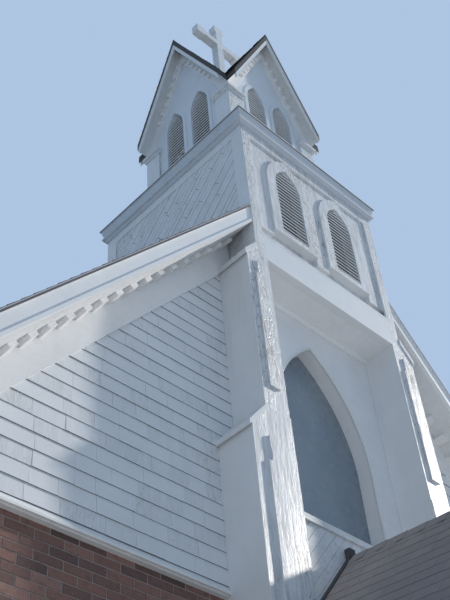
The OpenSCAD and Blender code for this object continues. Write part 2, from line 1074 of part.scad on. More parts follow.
// rake boards with dentil blocks on each belfry gable
module belfry_friezes() {
    board_t = 30;
    block_t = 62;
    drop = bell_rise + 120 / cos(belfry_pitch);
    step = 150 * cos(belfry_pitch);
    count = floor(bell_half / step) - 2;
    low = caps_top + 2;
    color(white)
        four_faces()
            intersection() {
                union() {
                    along_y(-bell_half - board_t, -bell_half)
                        chevron(belfry_top, bell_slope, bell_rise + fit, drop, bell_eave);
                    pair()
                        for (i = [3 : count])
                            translate([i * step, 0, belfry_top - bell_slope * i * step])
                                rotate([0, belfry_pitch, 0])
                                    block(-26, 26, -bell_half - block_t, -bell_half,
                                        -belfry_roof_t - 105, -belfry_roof_t - 60);
                }
                block(-bell_half - 20, bell_half + 20, -far, far, low, far);
            }
}

// shell of the four crossing gable roofs
module belfry_roof() {
    color(dark)
        placed()
            translate([0, tower_y, 0])
                difference() {
                    cross_gables(0, bell_eave, bell_rake);
                    cross_gables(bell_rise, bell_eave + 100, bell_rake + 100);
                }
}

module belfry_rakes() {
    color(white)
        four_faces()
            along_y(-bell_rake + 8, -bell_rake + 30)
                chevron(belfry_top, bell_slope, bell_rise + fit,
                    bell_rise + 40 / cos(belfry_pitch), bell_eave - 20);
}

// cross with wider blocks at the ends of its arms
module cross() {
    t = cross_t;
    end_l = 140;
    end_w = t + 50;
    arm_z = cross_h - cross_w / 2;
    color(white)
        placed()
            translate([0, tower_y, belfry_top])
                along_y(-t / 2, t / 2)
                    union() {
                        translate([-t / 2, fit])
                            square([t, cross_h - fit]);
                        translate([-cross_w / 2, arm_z - t / 2])
                            square([cross_w, t]);
                        for (s = [-1, 1])
                            translate([s * (cross_w - end_l) / 2 - end_l / 2, arm_z - end_w / 2])
                                square([end_l, end_w]);
                        translate([-end_w / 2, cross_h - end_l])
                            square([end_w, end_l]);
                    }
}

floor();
stoop();
brick_front();
brick_side_left();
brick_side_right();
brick_back();
gable_front();
gable_back();
water_table();
nave_roof();
fascia_boards();
rake_friezes();
side_frames();
side_glass();
piers();
pier_caps();
pier_strips();
recess_wall();
recess_soffit();
arch_glass();
window_sill();
apron_panel();
door_frame();
eave_boards();
porch_roof();
porch_rakes();
porch_frame();
tower_front();
tower_sides();
tower_back();
corner_boards();
belt_board();
lancet_frames();
lancet_louvres();
tower_cornice();
tower_deck();
belfry_walls();
belfry_posts();
belfry_caps();
belfry_casings();
belfry_louvres();
belfry_friezes();
belfry_roof();
belfry_rakes();
cross();
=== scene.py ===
"""Looks of a small brick and timber chapel, built round its packed construction model.

Metres, Z up, the front towards -Y. Bricks, shingles and diagonal boards are joined
meshes of many copies of one small piece, and each finish is made of shader nodes.
"""
import math
import random

import bmesh
import bpy
import numpy as np
from mathutils import Matrix, Vector


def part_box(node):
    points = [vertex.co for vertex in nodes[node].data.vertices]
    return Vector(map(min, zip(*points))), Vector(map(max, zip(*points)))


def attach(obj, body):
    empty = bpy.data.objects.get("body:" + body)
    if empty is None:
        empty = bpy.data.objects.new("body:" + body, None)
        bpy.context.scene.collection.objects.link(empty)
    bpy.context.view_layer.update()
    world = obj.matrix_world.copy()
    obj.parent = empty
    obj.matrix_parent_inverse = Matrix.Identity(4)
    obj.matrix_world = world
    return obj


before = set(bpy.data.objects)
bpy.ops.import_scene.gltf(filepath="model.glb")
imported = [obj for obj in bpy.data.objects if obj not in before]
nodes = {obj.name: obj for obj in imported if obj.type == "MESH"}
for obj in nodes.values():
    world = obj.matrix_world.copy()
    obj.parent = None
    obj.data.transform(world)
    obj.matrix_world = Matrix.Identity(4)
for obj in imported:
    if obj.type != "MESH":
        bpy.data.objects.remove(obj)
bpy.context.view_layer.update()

# sizes of the small pieces: bricks, then shingles, each with its exposure, its least and
# greatest width and the thickness of its butt, then the diagonal boards and the bead

BRICK_LONG, BRICK_HIGH, JOINT = 0.2134, 0.0677, 0.007
BRICK_PROUD = 0.003
ARCH_BRICK_LONG = 0.11
GABLE_EXPOSURE, GABLE_WIDTHS, GABLE_BUTT = 0.127, (0.16, 0.40), 0.010
ROOF_EXPOSURE, ROOF_WIDTHS, ROOF_BUTT = 0.14, (0.12, 0.24), 0.010
PORCH_BUTT = 0.004
BELFRY_EXPOSURE, BELFRY_WIDTHS, BELFRY_BUTT = 0.10, (0.08, 0.15), 0.010
LAP = 1.3
EDGE_GAP = 0.002
NAVE_CAP_WING, PORCH_CAP_WING, BELFRY_CAP_WING = 0.13, 0.12, 0.11
PORCH_CAP_EXPOSURE = 0.2
TOWER_BOARD, TOWER_BOARD_LENGTHS, TOWER_BOARD_THICK = 0.065, (0.35, 1.3), 0.012
APRON_BOARD, APRON_BOARD_LENGTHS, APRON_BOARD_THICK = 0.080, (0.9, 2.4), 0.008
BEAD_RADIUS = 0.011

# sizes of the construction model that the boxes of its nodes don't give

ROOF_PITCH = math.radians(50)
ROOF_THICK = 0.160
BELFRY_PITCH = math.radians(65)
PORCH_LEAN = math.radians(4.5)
PORCH_RIDGE = 5.600
PIER_STEP = 0.179
LOWER_SHOULDER = 6.09
UPPER_SHOULDER = 8.07
LOWER_STRIP_X = 1.126
LOWER_STRIP_HALF = 0.086
LOWER_STRIP_THICK = 0.020
CORNER_BOARD_WIDE = 0.147
FRIEZE_HIGH = 0.110
PANEL_IN = 0.022
WALL_THICK = 0.100
BELFRY_WALL_THICK = 0.080
WINDOWS = 3
WINDOW_HALF = 0.45
ARCH_SPRING = 6.660

X, Y, Z = Vector((1, 0, 0)), Vector((0, 1, 0)), Vector((0, 0, 1))
SIDES = (("left", -1), ("right", 1))


def box(name):
    low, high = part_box(name)
    return Vector(low), Vector(high)


# places in the construction model, from the boxes of its nodes

brick_low, brick_high = box("brick_front")
back_y = box("brick_back")[1].y
half_nave = brick_high.x
gable_y = box("gable_front")[0].y
gable_back_y = box("gable_back")[1].y
gable_foot = box("water_table")[1].z
roof_low, roof_high = box("nave_roof")
ridge_z = roof_high.z
slope = math.tan(ROOF_PITCH)
roof_rise = ROOF_THICK / math.cos(ROOF_PITCH)
recess_half = box("recess_wall")[1].x
lower_pier_x = box("piers")[1].x
upper_pier_x = lower_pier_x - PIER_STEP
strips_y = box("pier_strips")[0].y
frame_low, frame_high = box("side_frames")
tower_low, tower_high = box("corner_boards")
sides_low, sides_high = box("tower_sides")
porch_low, porch_high = box("porch_roof")
bell_low, bell_high = box("belfry_roof")
bell_wall_x = box("belfry_walls")[1].x
glass_low, glass_high = box("arch_glass")

# placing many copies of one piece


class Face:
    """A flat face of the building: a corner of it, and its directions along, up and out."""

    def __init__(self, corner, along, up):
        self.corner = Vector(corner)
        self.along = Vector(along).normalized()
        self.up = Vector(up).normalized()
        self.out = self.along.cross(self.up)

    def point(self, u, v, out=0.0):
        return self.corner + self.along * u + self.up * v + self.out * out

    def place(self, u, v, width, height, thick, out=0.0, turn=0.0):
        """The matrix that puts a unit piece with the middle of its foot at u, v."""
        way = self.along * math.cos(turn) + self.up * math.sin(turn)
        side = self.out.cross(way)
        matrix = Matrix((way * width, side * height, self.out * thick)).transposed().to_4x4()
        matrix.translation = self.point(u, v, out)
        return matrix


def unit_block(bm, low=(-0.5, 0, 0), high=(0.5, 1, 1)):
    """A block between two corners. A unit piece stands on the middle of its foot."""
    made = bmesh.ops.create_cube(bm, size=1)["verts"]
    size = [b - a for a, b in zip(low, high)]
    middle = [(a + b) / 2 for a, b in zip(low, high)]
    bmesh.ops.scale(bm, vec=size, verts=made)
    bmesh.ops.translate(bm, vec=middle, verts=made)
    return made


def unit_shingle(bm):
    """A wedge with a thick butt at its foot."""
    for vert in unit_block(bm):
        if vert.co.y > 0.5 and vert.co.z > 0.5:
            vert.co.z = 0.2


def unit_brick(bm):
    """A block whose face is a little smaller than its foot, so that its edges catch light."""
    for vert in unit_block(bm, (-0.5, 0, -1), (0.5, 1, 1)):
        if vert.co.z > 0:
            vert.co.x *= 0.985
            vert.co.y = 0.5 + (vert.co.y - 0.5) * 0.95


def unit_cap(bm):
    """Two thin wings folded over a ridge that runs along Y, for a pitch of 45 degrees."""
    for side in (-1, 1):
        wing = unit_block(bm, (0, 0, 0), (1, 1, 0.12))
        for vert in wing:
            if vert.co.y > 0.5:
                vert.co.z *= 0.4
        for vert in wing:
            vert.co.z -= vert.co.x
            vert.co.x *= side
        if side < 0:
            bmesh.ops.reverse_faces(bm, faces=list({f for v in wing for f in v.link_faces}))


def joined_copies(piece, places, tones):
    """One mesh of many placed copies of a small piece, each with its own tone."""
    small = bmesh.new()
    piece(small)
    small.verts.ensure_lookup_table()
    corners = np.array([tuple(v.co) + (1.0,) for v in small.verts])
    faces = np.array([[v.index for v in f.verts] for f in small.faces])
    small.free()
    mats = np.array([[list(row) for row in place] for place in places])
    spots = np.einsum("nij,vj->nvi", mats, corners)[:, :, :3].reshape(-1, 3)
    shift = np.arange(len(places))[:, None, None] * len(corners)
    mesh = bpy.data.meshes.new("copies")
    mesh.from_pydata(spots.tolist(), [], (faces[None] + shift).reshape(-1, faces.shape[1]).tolist())
    tone = mesh.attributes.new("tone", "FLOAT", "POINT")
    tone.data.foreach_set("value", np.repeat(tones, len(corners)).astype(np.float32))
    mesh.update()
    return mesh


def trim(mesh, planes):
    """Cuts the mesh along planes, drops what lies on each normal's side and closes the cuts."""
    bm = bmesh.new()
    bm.from_mesh(mesh)
    for point, normal in planes:
        cut = bmesh.ops.bisect_plane(bm, geom=bm.verts[:] + bm.edges[:] + bm.faces[:],
                                     plane_co=point, plane_no=normal, clear_outer=True)
        edges = [e for e in cut["geom_cut"] if isinstance(e, bmesh.types.BMEdge)]
        bmesh.ops.holes_fill(bm, edges=edges, sides=0)
    bm.to_mesh(mesh)
    bm.free()


def mesh_of(bm, name):
    mesh = bpy.data.meshes.new(name)
    bm.to_mesh(mesh)
    bm.free()
    return mesh


def add_piece(name, mesh, material):
    mesh.name = name
    mesh.materials.clear()
    mesh.materials.append(material)
    piece = bpy.data.objects.new(name, mesh)
    bpy.context.scene.collection.objects.link(piece)
    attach(piece, "root")


def copies(name, piece, placed, material, planes=()):
    """A new piece of the scene made of copies, given as pairs of a place and a tone."""
    mesh = joined_copies(piece, [p for p, _ in placed], [t for _, t in placed])
    if planes:
        trim(mesh, planes)
    add_piece(name, mesh, material)


# fields of bricks, shingles and boards


def brick_field(face, rows, spans, shift, rng):
    """Running bond over the spans of each row, in step with the wall material's own joints."""
    placed = []
    for row in range(rows):
        foot = row * BRICK_HIGH
        start = shift - (0.5 * BRICK_LONG if row % 2 == 0 else 0.0)
        for left, right in spans(foot + BRICK_HIGH / 2):
            first = math.floor((left - start) / BRICK_LONG)
            last = math.ceil((right - start) / BRICK_LONG)
            for k in range(first, last):
                a = max(left, start + k * BRICK_LONG + JOINT / 2)
                b = min(right, start + (k + 1) * BRICK_LONG - JOINT / 2)
                if b - a > 0.02:
                    proud = BRICK_PROUD + rng.uniform(-0.0015, 0.0015)
                    placed.append((face.place((a + b) / 2, foot + JOINT / 2, b - a,
                                              BRICK_HIGH - JOINT, proud), rng.random()))
    return placed


def shingle_field(face, rows, exposure, spans, widths, butt, rng, skew=0.004,
                  gaps=(0.001, 0.004)):
    """Courses of shingles of uneven width, each course lapping the one below."""
    placed = []
    for row in range(rows):
        foot = row * exposure
        for left, right in spans(foot):
            at = left
            while at < right - 0.01:
                wide = rng.uniform(*widths)
                if right - at - wide < widths[0] * 0.5:
                    wide = right - at
                gap = rng.uniform(*gaps)
                drop = rng.uniform(-skew, skew)
                placed.append((face.place(at + wide / 2, foot + drop, max(0.01, wide - gap),
                                          exposure * LAP, butt * rng.uniform(0.85, 1.15)),
                               rng.random()))
                at += wide
    return placed


def diagonal_field(face, width, height, board, way, lengths, thick, rng, gap=0.003):
    """Narrow boards at the angle `way` over a rectangle, cut off at its edges later."""
    placed = []
    along = Vector((math.cos(way), math.sin(way)))
    across = Vector((-along.y, along.x))
    corners = [Vector(c) for c in ((0, 0), (width, 0), (0, height), (width, height))]
    low, high = (pick(c.dot(across) for c in corners) for pick in (min, max))
    near, far = (pick(c.dot(along) for c in corners) for pick in (min, max))
    for k in range(math.floor(low / board), math.ceil(high / board)):
        at = near - rng.uniform(0, 0.3)
        tone = rng.random()
        while at < far:
            long = rng.uniform(*lengths)
            spot = along * (at + long / 2) + across * (k * board + gap / 2)
            placed.append((face.place(spot.x, spot.y, long - gap, board - gap,
                                      thick * rng.uniform(0.75, 1.1), turn=way),
                           0.6 * tone + 0.4 * rng.random()))
            at += long
    return placed


def pointed_half(half, spring, apex, z):
    """Half the width of a pointed opening at height z."""
    if z <= spring:
        return half
    rise = apex - spring
    if z >= apex:
        return 0.0
    radius = (half * half + rise * rise) / (2 * half)
    return math.sqrt(max(0.0, radius ** 2 - (z - spring) ** 2)) - (radius - half)


def along_side(sign, start, end):
    """The stretch from y = start to y = end, as the left or the right face counts it."""
    return [(start, end)] if sign > 0 else [(-end, -start)]


def slope_face(sign, edge, top, pitch):
    """One slope of a roof, from its lower edge at x = edge to a ridge along Y."""
    foot = Vector((sign * edge, 0, top - math.tan(pitch) * edge))
    return Face(foot, Y * sign, Vector((-sign * math.cos(pitch), 0, math.sin(pitch))))


# the room inside the tower and the belfry, whose faces are painted near-black as painted shade

INNER_MIDDLE = (tower_low.y + tower_high.y) / 2
DECK_TOP = box("tower_deck")[1].z - 0.002
INNER_FOOT = sides_low.z + 0.35
INNER_TOP = bell_high.z - 0.05
INNER_TOWER = (sides_high.x - WALL_THICK + 0.003,
               (tower_high.y - tower_low.y) / 2 - PANEL_IN - WALL_THICK + 0.004)
INNER_BELFRY = bell_wall_x - BELFRY_WALL_THICK + 0.002

# shader nodes


def node(tree, kind, inputs=None, **settings):
    """A new node: its settings first, then each input as a link or a plain value."""
    made = tree.nodes.new(kind)
    for key, value in settings.items():
        setattr(made, key, value)
    for key, value in (inputs or {}).items():
        if isinstance(value, bpy.types.NodeSocket):
            tree.links.new(value, made.inputs[key])
        else:
            made.inputs[key].default_value = value
    return made


def math_node(tree, what, *values):
    return node(tree, "ShaderNodeMath", dict(enumerate(values)), operation=what).outputs[0]


def mix(tree, factor, a, b):
    """The colour a where the factor is 0, and b where it is 1."""
    return node(tree, "ShaderNodeMix", {0: factor, 6: a, 7: b}, data_type="RGBA").outputs[2]


def mask(tree, value, low, high, to_low=0.0, to_high=1.0):
    """A value between two limits, spread over 0 to 1 or another range."""
    return node(tree, "ShaderNodeMapRange", {"Value": value, "From Min": low, "From Max": high,
                                             "To Min": to_low, "To Max": to_high}).outputs[0]


def noise(tree, vector, scale, detail=4.0, rough=0.55, output="Fac"):
    return node(tree, "ShaderNodeTexNoise", {"Vector": vector, "Scale": scale, "Detail": detail,
                                             "Roughness": rough}).outputs[output]


def scaled(tree, vector, size):
    return node(tree, "ShaderNodeVectorMath", {0: vector, 1: size}, operation="MULTIPLY").outputs[0]


def new_group(name, inputs, outputs):
    """A node group with named inputs, (name, kind, value), and named outputs."""
    tree = bpy.data.node_groups.new(name, "ShaderNodeTree")
    for label, kind, value in inputs:
        made = tree.interface.new_socket(label, in_out="INPUT", socket_type="NodeSocket" + kind)
        if value is not None:
            made.default_value = value
    for label, kind in outputs:
        tree.interface.new_socket(label, in_out="OUTPUT", socket_type="NodeSocket" + kind)
    return tree, tree.nodes.new("NodeGroupInput").outputs, tree.nodes.new("NodeGroupOutput").inputs


def use_group(tree, group, inputs=None):
    return node(tree, "ShaderNodeGroup", inputs, node_tree=group).outputs


def rgb(r, g, b):
    return (r, g, b, 1.0)


def shade(colour, share):
    return rgb(*[c * share for c in colour])


def make_crack_group():
    """Old paint: fine cracks and streaks along the grain, and flakes that have come off."""
    tree, given, out = new_group(
        "Cracked paint",
        [("Vector", "Vector", None), ("Cracks", "Float", 0.5), ("Flakes", "Float", 0.3),
         ("Where", "Float", 1.0)],
        [("Crack", "Float"), ("Flake", "Float"), ("Streak", "Float"), ("Height", "Float")])
    bent = node(tree, "ShaderNodeVectorMath", {
        0: given["Vector"],
        1: scaled(tree, noise(tree, given["Vector"], 9.0, 2.0, output="Color"), (0.05, 0.05, 0.05)),
    }, operation="ADD").outputs[0]
    edge = node(tree, "ShaderNodeTexVoronoi", {"Vector": bent, "Scale": 42.0},
                feature="DISTANCE_TO_EDGE").outputs["Distance"]
    line = mask(tree, edge, 0.0, 0.06, 1.0, 0.0)
    patch = mask(tree, noise(tree, given["Vector"], 3.1), 0.38, 0.58)
    here = math_node(tree, "MULTIPLY", given["Where"], patch)
    crack = math_node(tree, "MULTIPLY", math_node(tree, "MULTIPLY", line, here), given["Cracks"])
    worn = noise(tree, bent, 24.0, 6.0, 0.7)
    level = mask(tree, given["Flakes"], 0.0, 1.0, 0.78, 0.48)
    flake = math_node(tree, "MULTIPLY",
                      mask(tree, math_node(tree, "SUBTRACT", worn, level), 0.0, 0.035), here)
    streak = math_node(tree, "MULTIPLY", mask(tree, noise(tree, bent, 17.0, 6.0, 0.7), 0.42, 0.64),
                       math_node(tree, "MULTIPLY", given["Where"], given["Cracks"]))
    low = math_node(tree, "ADD", math_node(tree, "MAXIMUM", crack, flake),
                    math_node(tree, "MULTIPLY", streak, 0.5))
    fine = noise(tree, given["Vector"], 160.0, 3.0)
    height = math_node(tree, "SUBTRACT", math_node(tree, "MULTIPLY", fine, 0.2), low)
    for label, value in (("Crack", crack), ("Flake", flake), ("Streak", streak),
                         ("Height", height)):
        tree.links.new(value, out[label])
    return tree


def make_grime_and_shade_group():
    """Rain streaks and soft stains, which way a face looks and whether it is inside the tower. The
    faces looking down and the faces inside also serve as masks for painted shade.
    """
    tree, given, out = new_group(
        "Rain grime and shade masks", [("Amount", "Float", 0.4)],
        [("Grime", "Float"), ("Underside", "Float"), ("Front", "Float"), ("Inside", "Float")])
    place = node(tree, "ShaderNodeTexCoord").outputs["Object"]
    streak = noise(tree, scaled(tree, place, (7.0, 7.0, 0.9)), 1.0, 5.0, 0.6)
    stain = noise(tree, place, 0.9, 3.0)
    both = math_node(tree, "MULTIPLY", mask(tree, streak, 0.45, 0.8), mask(tree, stain, 0.35, 0.7))
    normal = node(tree, "ShaderNodeNewGeometry").outputs["Normal"]
    facing = node(tree, "ShaderNodeSeparateXYZ", {0: normal}).outputs
    across = math_node(tree, "ABSOLUTE", facing["Y"])
    tree.links.new(math_node(tree, "MULTIPLY", both, given["Amount"]), out["Grime"])
    tree.links.new(mask(tree, facing["Z"], -0.2, -0.38), out["Underside"])
    tree.links.new(mask(tree, across, 0.6, 0.8), out["Front"])
    parts = node(tree, "ShaderNodeSeparateXYZ", {0: place}).outputs
    away = math_node(tree, "ABSOLUTE", math_node(tree, "SUBTRACT", parts["Y"], INNER_MIDDLE))
    high = math_node(tree, "GREATER_THAN", parts["Z"], DECK_TOP)
    reach_x = mask(tree, high, 0.0, 1.0, INNER_TOWER[0], INNER_BELFRY)
    reach_y = mask(tree, high, 0.0, 1.0, INNER_TOWER[1], INNER_BELFRY)
    within = math_node(
        tree, "MULTIPLY",
        math_node(tree, "LESS_THAN", math_node(tree, "ABSOLUTE", parts["X"]), reach_x),
        math_node(tree, "LESS_THAN", away, reach_y))
    storey = math_node(tree, "MULTIPLY",
                       math_node(tree, "GREATER_THAN", parts["Z"], INNER_FOOT),
                       math_node(tree, "LESS_THAN", parts["Z"], INNER_TOP))
    tree.links.new(math_node(tree, "MULTIPLY", within, storey), out["Inside"])
    return tree


def make_grain_group():
    """Wood grain that runs along the shortest of the three scales."""
    tree, given, out = new_group("Wood grain", [("Vector", "Vector", None)],
                                 [("Grain", "Float")])
    grain = noise(tree, given["Vector"], 1.0, 6.0, 0.65)
    tree.links.new(mask(tree, grain, 0.3, 0.7), out["Grain"])
    return tree


crack_group = make_crack_group()
grime_and_shade_group = make_grime_and_shade_group()
grain_group = make_grain_group()


def new_material(name):
    material = bpy.data.materials.new(name)
    material.use_nodes = True
    tree = material.node_tree
    shader = tree.nodes["Principled BSDF"]
    place = node(tree, "ShaderNodeTexCoord").outputs["Object"]
    return material, tree, shader, place


def finish_material(tree, shader, colour, rough, height, depth, strength):
    bump = node(tree, "ShaderNodeBump", {"Height": height, "Distance": depth,
                                         "Strength": strength}).outputs[0]
    tree.links.new(colour, shader.inputs["Base Color"])
    tree.links.new(rough, shader.inputs["Roughness"])
    tree.links.new(bump, shader.inputs["Normal"])


def mostly_front(least):
    """Wear on the faces that look forwards and back, and only `least` of it on the others."""
    return lambda tree, place, tone, grime_and_shade: mask(tree, grime_and_shade["Front"], 0.0, 1.0, least, 1.0)


def by_tone(tree, place, tone, grime_and_shade):
    """Wear that differs from piece to piece."""
    return mask(tree, tone, 0.5, 0.98, 0.03, 1.0)


def near_top(low, high):
    """Wear along an upper edge, between two heights."""
    return lambda tree, place, tone, grime_and_shade: mask(
        tree, node(tree, "ShaderNodeSeparateXYZ", {0: place}).outputs["Z"], low, high, 0.04, 1.0)


def paint_material(name, colour, grain, cracks, flakes, grime, tones=0.0, shade_under=None,
                   where=None, relief=0.55):
    """White paint over old wood. `grain` is the stretch of the cracks in X, Y and Z. A given colour
    for the faces that look down paints them darker, as painted shade.
    """
    material, tree, shader, place = new_material(name)
    stretched = scaled(tree, place, grain)
    grime_and_shade = use_group(tree, grime_and_shade_group, {"Amount": grime})
    tone = node(tree, "ShaderNodeAttribute", attribute_name="tone").outputs["Fac"]
    paint = use_group(tree, crack_group, {
        "Vector": stretched, "Cracks": cracks, "Flakes": flakes,
        "Where": where(tree, place, tone, grime_and_shade) if where else 1.0})
    wood = use_group(tree, grain_group, {"Vector": scaled(tree, place, [60 * g for g in grain])})
    cloud = mask(tree, noise(tree, place, 3.0), 0.3, 0.7)
    light = mix(tree, cloud, rgb(*colour), shade(colour, 0.94))
    if tones:
        light = mix(tree, mask(tree, tone, 0.0, 1.0, 0.0, tones), light, shade(colour, 0.62))
    light = mix(tree, grime_and_shade["Grime"], light, GRIME)
    light = mix(tree, math_node(tree, "MULTIPLY", paint["Streak"], 0.45), light,
                rgb(0.36, 0.36, 0.36))
    light = mix(tree, paint["Crack"], light, CRACK)
    bare = mix(tree, wood["Grain"], rgb(0.30, 0.28, 0.26), rgb(0.48, 0.46, 0.43))
    light = mix(tree, paint["Flake"], light, bare)
    # painted shade: faces that look down take the given dark colour
    if shade_under is not None:
        light = mix(tree, grime_and_shade["Underside"], light, rgb(*shade_under))
    # painted shade: faces inside the tower and the belfry are painted near-black
    light = mix(tree, grime_and_shade["Inside"], light, mix(tree, wood["Grain"], *INSIDE_SHADE))
    shine = mask(tree, math_node(tree, "ADD", paint["Flake"], grime_and_shade["Grime"]), 0.0, 1.0, 0.42, 0.7)
    finish_material(tree, shader, light, shine, paint["Height"], 0.0022, relief)
    return material


# how the grain of upright boards and of level boards is stretched, and the paint's colours

UP_GRAIN = (1.0, 1.0, 0.16)
SIDE_GRAIN = (0.22, 0.22, 1.0)
WHITE = (0.80, 0.82, 0.84)
GRIME = rgb(0.42, 0.41, 0.39)
CRACK = rgb(0.25, 0.24, 0.23)
# near-black colours for the faces inside the tower and the belfry: painted shade
INSIDE_SHADE = (rgb(0.035, 0.030, 0.026), rgb(0.075, 0.064, 0.055))

upright_paint = paint_material("upright boards, cracked paint", WHITE, UP_GRAIN, cracks=1.0,
                               flakes=0.55, grime=0.3, where=mostly_front(0.12), relief=0.8)
level_paint = paint_material("level boards, cracked paint", WHITE, SIDE_GRAIN, cracks=0.45,
                             flakes=0.2, grime=0.3)
belt_paint = paint_material("belt board, peeling at its top", WHITE, SIDE_GRAIN, cracks=1.0,
                            flakes=0.6, grime=0.2, where=near_top(8.46, 8.53))
smooth_paint = paint_material("smooth panels", (0.78, 0.80, 0.81), UP_GRAIN, cracks=0.1,
                              flakes=0.0, grime=0.3)
# paint for the recess and the fascia: little cracked where sheltered, and made whiter than the
# other paint as painted bounce light
sheltered_bounce_paint = paint_material("sheltered paint, brightened as painted bounce light", (0.87, 0.88, 0.89), SIDE_GRAIN, cracks=0.08,
                             flakes=0.0, grime=0.15)
pier_paint = paint_material("pier boards", WHITE, UP_GRAIN, cracks=1.0, flakes=0.6, grime=0.25,
                            where=mostly_front(0.05), relief=1.0)
peeled_paint = paint_material("peeling strips", WHITE, UP_GRAIN, cracks=1.0, flakes=0.8,
                              grime=0.3, where=mostly_front(0.15), relief=1.0)
board_paint = paint_material("diagonal boards", (0.80, 0.82, 0.85), (0.5, 0.5, 0.5), cracks=0.3,
                             flakes=0.1, grime=0.3, tones=0.22)
# near-black wall seen in the gaps between the diagonal boards: painted shade
gap_shade_paint = paint_material("wall behind the diagonal boards, dark as painted shade", (0.12, 0.125, 0.14), UP_GRAIN,
                           cracks=0.3, flakes=0.2, grime=0.3)
# the shingles' undersides are painted dark grey-blue as painted shade, so each butt reads as a
# shadow line
shingle_paint = paint_material("painted shingles", WHITE, UP_GRAIN, cracks=0.5, flakes=0.3,
                               grime=0.2, tones=0.10, shade_under=(0.15, 0.17, 0.20), where=by_tone)
# the cornice's grey-blue base colour is painted shade; its cracks and grime are wear
cornice_shade_paint = paint_material("cornice, weathered, grey-blue as painted shade", (0.60, 0.65, 0.71), SIDE_GRAIN, cracks=0.3,
                               flakes=0.1, grime=0.4)
# the belfry walls' grey-blue colour is painted shade
belfry_shade_paint = paint_material("belfry walls", (0.72, 0.77, 0.82), UP_GRAIN, cracks=0.1,
                              flakes=0.0, grime=0.3)
louvre_paint = paint_material("louvre slats", WHITE, SIDE_GRAIN, cracks=0.15, flakes=0.05,
                              grime=0.25)
soffit_paint = paint_material("friezes and dentils", (0.86, 0.86, 0.86), SIDE_GRAIN, cracks=0.1,
                              flakes=0.03, grime=0.25)


def shingle_colour(tree, place, tone, dark, light, streak, worn):
    """Colour and grain of old shingles, each with its own tone, streaked down the slope."""
    body = mix(tree, tone, rgb(*dark), rgb(*light))
    grain = use_group(tree, grain_group, {"Vector": scaled(tree, place, streak)})["Grain"]
    body = mix(tree, math_node(tree, "MULTIPLY", grain, 0.35), body, shade(light, 1.35))
    stain = mask(tree, noise(tree, place, 1.7, 5.0), 0.55, 0.72)
    body = mix(tree, math_node(tree, "MULTIPLY", stain, worn), body, shade(dark, 0.7))
    return body, grain


def roof_material(name, dark, light, streak, worn, butt_shade=0.4):
    """Loose shingles, whose undersides and butts are painted darker, as painted shade."""
    material, tree, shader, place = new_material(name)
    tone = node(tree, "ShaderNodeAttribute", attribute_name="tone").outputs["Fac"]
    body, grain = shingle_colour(tree, place, tone, dark, light, streak, worn)
    shade_under = use_group(tree, grime_and_shade_group, {"Amount": 0.0})["Underside"]
    # painted shade: the faces that look down are darkened
    body = mix(tree, shade_under, body, shade(dark, butt_shade))
    rough = mask(tree, grain, 0.0, 1.0, 0.82, 0.95)
    finish_material(tree, shader, body, rough, grain, 0.003, 0.8)
    return material


def roof_body_material(name, dark, light, streak, edge=None):
    """A roof's body: shingle colour above, painted boards below. With `edge`, which is the height
    of the ridge and the slope, the roof's upright front edge gets a dark band, painted shade of the
    gap under the edge, topped by a pale line, a painted highlight of its lit rim."""
    material, tree, shader, place = new_material(name)
    body, grain = shingle_colour(tree, place, noise(tree, place, 9.0), dark, light, streak, 0.3)
    body = mix(tree, 0.5, body, rgb(*dark))
    grime_and_shade = use_group(tree, grime_and_shade_group, {"Amount": 0.35})
    paint = use_group(tree, crack_group, {"Vector": scaled(tree, place, (1.0, 0.2, 1.0)),
                                          "Cracks": 0.35, "Flakes": 0.2, "Where": 1.0})
    board = mix(tree, grime_and_shade["Grime"], rgb(0.76, 0.77, 0.78), GRIME)
    board = mix(tree, paint["Crack"], board, CRACK)
    # painted shade: boards inside the tower and the belfry are painted near-black
    board = mix(tree, grime_and_shade["Inside"], board, mix(tree, grain, *INSIDE_SHADE))
    body = mix(tree, grime_and_shade["Underside"], body, board)
    if edge:
        top, fall = edge
        parts = node(tree, "ShaderNodeSeparateXYZ", {0: place}).outputs
        down = math_node(tree, "SUBTRACT", top, parts["Z"])
        depth = math_node(tree, "SUBTRACT", down,
                          math_node(tree, "MULTIPLY", math_node(tree, "ABSOLUTE", parts["X"]),
                                    fall))
        # painted shade: a dark band down the upright edge for the gap under it; painted highlight:
        # a pale line along its top rim
        edge_shadow = math_node(tree, "MULTIPLY", mask(tree, depth, 0.034, 0.036, 1.0, 0.0),
                          grime_and_shade["Front"])
        edge_highlight = math_node(tree, "MULTIPLY", mask(tree, depth, 0.008, 0.010, 1.0, 0.0),
                        grime_and_shade["Front"])
        body = mix(tree, edge_shadow, body, rgb(0.10, 0.105, 0.13))
        body = mix(tree, edge_highlight, body, rgb(0.55, 0.56, 0.58))
    height = math_node(tree, "SUBTRACT", math_node(tree, "MULTIPLY", grain, 0.4),
                       math_node(tree, "MULTIPLY", paint["Crack"], grime_and_shade["Underside"]))
    rough = mask(tree, grain, 0.0, 1.0, 0.75, 0.92)
    finish_material(tree, shader, body, rough, height, 0.003, 0.6)
    return material


